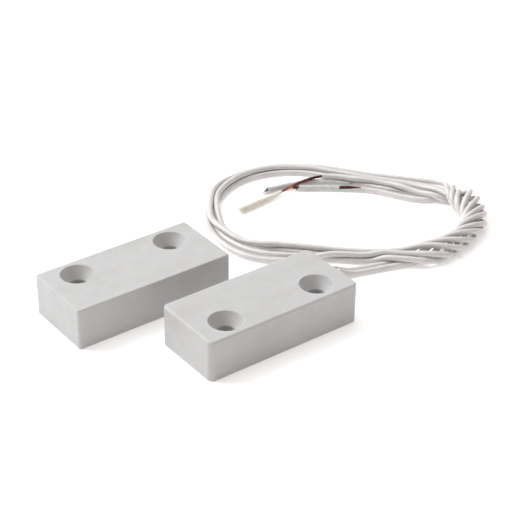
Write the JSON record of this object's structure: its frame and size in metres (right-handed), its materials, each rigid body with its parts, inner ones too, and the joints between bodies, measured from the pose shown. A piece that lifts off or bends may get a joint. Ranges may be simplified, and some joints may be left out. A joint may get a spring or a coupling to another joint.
{
  "type": "door contact sensor",
  "caption": "Surface-mount magnetic door contact: a white moulded reed sensor block with countersunk holes and loosely coiled white wire leads, beside its matching magnet block.",
  "frame": {"origin": "centre of the sensor block's mounting face, which lies on the surface it is screwed to", "axes": "+X along the sensor block towards the end where the wires leave, +Y across the gap towards the magnet block, +Z out of the mounting surface"},
  "size_m": [0.1239, 0.0749, 0.011],
  "materials": {
    "housing": "moulded, satin, faintly mottled",
    "potting": "cast resin, satin",
    "glass": "clear",
    "reed_metal": "plated",
    "solder": "bright, rounded",
    "wire": "PVC insulation with a soft sheen",
    "copper": "darkened stranded copper",
    "wire_slug": "PVC insulation, dull",
    "magnet": "sintered ferrite"
  },
  "bodies": {
    "sensor": {"sensor_housing": "housing", "sensor_potting": "potting", "reed_glass": "glass", "reed_lead_near": "reed_metal", "reed_lead_far": "reed_metal", "solder_near": "solder", "solder_far": "solder", "inner_insulation_a": "wire", "inner_insulation_b": "wire", "inner_copper_a": "copper", "inner_copper_b": "copper", "lead_a_run": "wire", "lead_b_run": "wire", "lead_coil": "wire", "lead_a_tail": "wire", "lead_b_tail": "wire", "bare_copper_a": "copper", "bare_copper_b": "copper", "insulation_slug_a": "wire_slug", "insulation_slug_b": "wire_slug"},
    "near_blade": {"reed_blade_near": "reed_metal"},
    "far_blade": {"reed_blade_far": "reed_metal"},
    "magnet": {"magnet_housing": "housing", "magnet_potting": "potting", "bar_magnet": "magnet"}
  },
  "joints": [
    {"name": "door_slide", "type": "slide", "parent": "sensor", "child": "magnet", "axis": [0, 1, 0], "range_m": [-0.006, 0.04]},
    {"name": "near_blade_flex", "type": "hinge", "parent": "sensor", "child": "near_blade", "pos_m": [0.0055, 0.0054, 0.005], "axis": [0, 1, 0], "range_deg": [-0.15, 0.7]},
    {"name": "far_blade_flex", "type": "hinge", "parent": "sensor", "child": "far_blade", "pos_m": [-0.0055, 0.0054, 0.005], "axis": [0, 1, 0], "range_deg": [-0.15, 0.7]}
  ],
  "couplings": [
    {"joint": "near_blade_flex", "follows": "door_slide", "rad_per_m": 0.26},
    {"joint": "far_blade_flex", "follows": "door_slide", "rad_per_m": 0.26}
  ]
}
